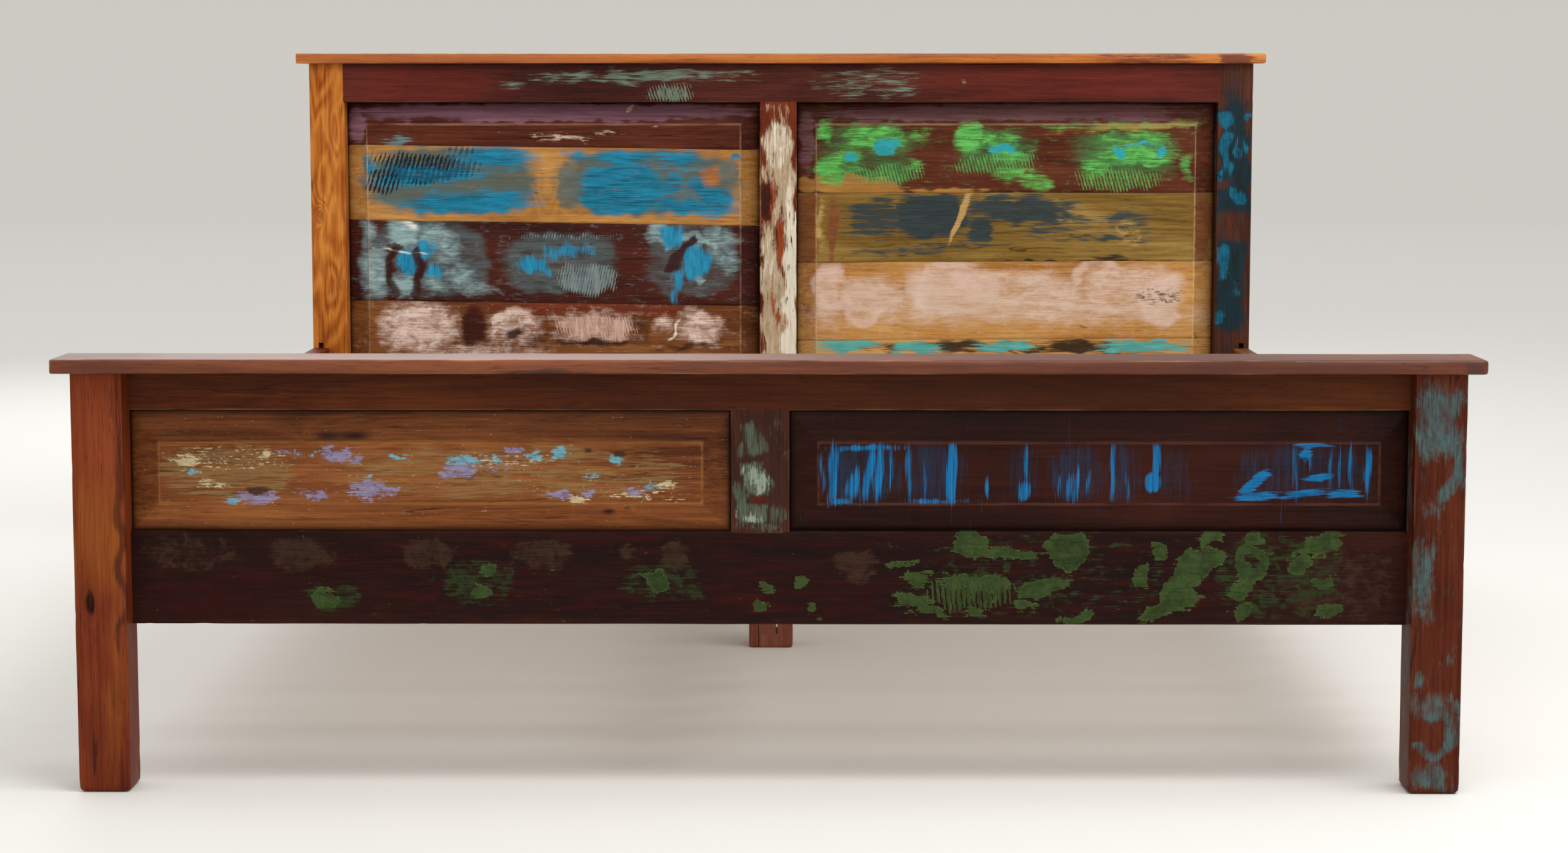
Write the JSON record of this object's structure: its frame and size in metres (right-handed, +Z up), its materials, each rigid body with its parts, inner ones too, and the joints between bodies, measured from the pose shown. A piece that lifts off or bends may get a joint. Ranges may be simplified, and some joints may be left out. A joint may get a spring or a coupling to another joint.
{
  "type": "wooden bed frame",
  "caption": "Wooden bed frame with panelled head and foot boards of reclaimed painted wood, hooked side rails, a slatted base and a centre beam on its own leg.",
  "frame": {"origin": "on the floor, under the middle of the bed's length and width", "axes": "+X to the right seen from the foot end, +Y towards the headboard, +Z up"},
  "size_m": [1.93, 2.196, 1.026],
  "materials": {
    "cap_wood": "hand-waxed reclaimed hardwood, eased edges",
    "foot_post_wood": "waxed red-brown hardwood with worn grey-teal paint",
    "head_post_golden": "waxed golden hardwood with strong grain",
    "head_post_teal": "worn teal paint over dark red-brown wood",
    "foot_rail_brown": "waxed brown hardwood",
    "rail_maroon": "old maroon paint with worn green patches",
    "stile_weathered": "flaking cream paint over brown wood",
    "panel_golden": "golden brown wood with flecks of old paint",
    "panel_blue": "dark red-brown wood with blue brushed paint",
    "plank_dark": "dark maroon wood with pale washes of paint",
    "plank_blue": "tan wood with rubbed blue and teal paint",
    "plank_pink": "tan wood with rubbed pinkish-white paint",
    "plank_green": "red-brown wood with rubbed light green paint",
    "plank_khaki": "khaki wood with worn charcoal paint",
    "plank_turquoise": "tan wood with turquoise dashes of paint",
    "back_rail_wood": "waxed brown hardwood",
    "side_rail_wood": "waxed brown hardwood, eased edges",
    "leg_wood": "sawn reddish hardwood",
    "base_wood": "planed, unfinished wood",
    "dowel_wood": "turned hardwood",
    "hook_steel": "plain mild steel, lightly tarnished",
    "screw_steel": "zinc-plated steel"
  },
  "bodies": {
    "root": {"beam_hanger_foot": "hook_steel", "beam_hanger_head": "hook_steel", "cap_dowels": "dowel_wood", "centre_beam": "base_wood", "centre_leg_block": "leg_wood", "centre_leg_bolts": "screw_steel", "centre_leg_cheek": "leg_wood", "centre_leg_packer": "leg_wood", "foot_bottom_rail": "rail_maroon", "foot_cap": "cap_wood", "foot_mid_stile": "stile_weathered", "foot_panel_left": "panel_golden", "foot_panel_right": "panel_blue", "foot_post_left": "foot_post_wood", "foot_post_right": "foot_post_wood", "foot_top_rail": "foot_rail_brown", "hanger_screws": "screw_steel", "head_bottom_rail": "back_rail_wood", "head_cap": "cap_wood", "head_mid_stile": "stile_weathered", "head_panel_left_plank_1": "plank_dark", "head_panel_left_plank_2": "plank_blue", "head_panel_left_plank_3": "plank_dark", "head_panel_left_plank_4": "plank_pink", "head_panel_right_plank_1": "plank_green", "head_panel_right_plank_2": "plank_khaki", "head_panel_right_plank_3": "plank_pink", "head_panel_right_plank_4": "plank_turquoise", "head_post_left": "head_post_golden", "head_post_right": "head_post_teal", "head_top_rail": "rail_maroon", "hook_pins": "hook_steel", "hook_plate_foot_left": "hook_steel", "hook_plate_foot_right": "hook_steel", "hook_plate_head_left": "hook_steel", "hook_plate_head_right": "hook_steel", "hook_plate_screws": "screw_steel", "ledger_left": "base_wood", "ledger_right": "base_wood", "ledger_screws": "screw_steel", "side_rail_left": "side_rail_wood", "side_rail_right": "side_rail_wood", "slat_01": "base_wood", "slat_02": "base_wood", "slat_03": "base_wood", "slat_04": "base_wood", "slat_05": "base_wood", "slat_06": "base_wood", "slat_07": "base_wood", "slat_08": "base_wood", "slat_09": "base_wood", "slat_10": "base_wood", "slat_11": "base_wood", "slat_12": "base_wood", "slat_13": "base_wood", "slat_14": "base_wood", "slat_screws": "screw_steel", "tenon_pegs": "dowel_wood"}
  },
  "joints": []
}
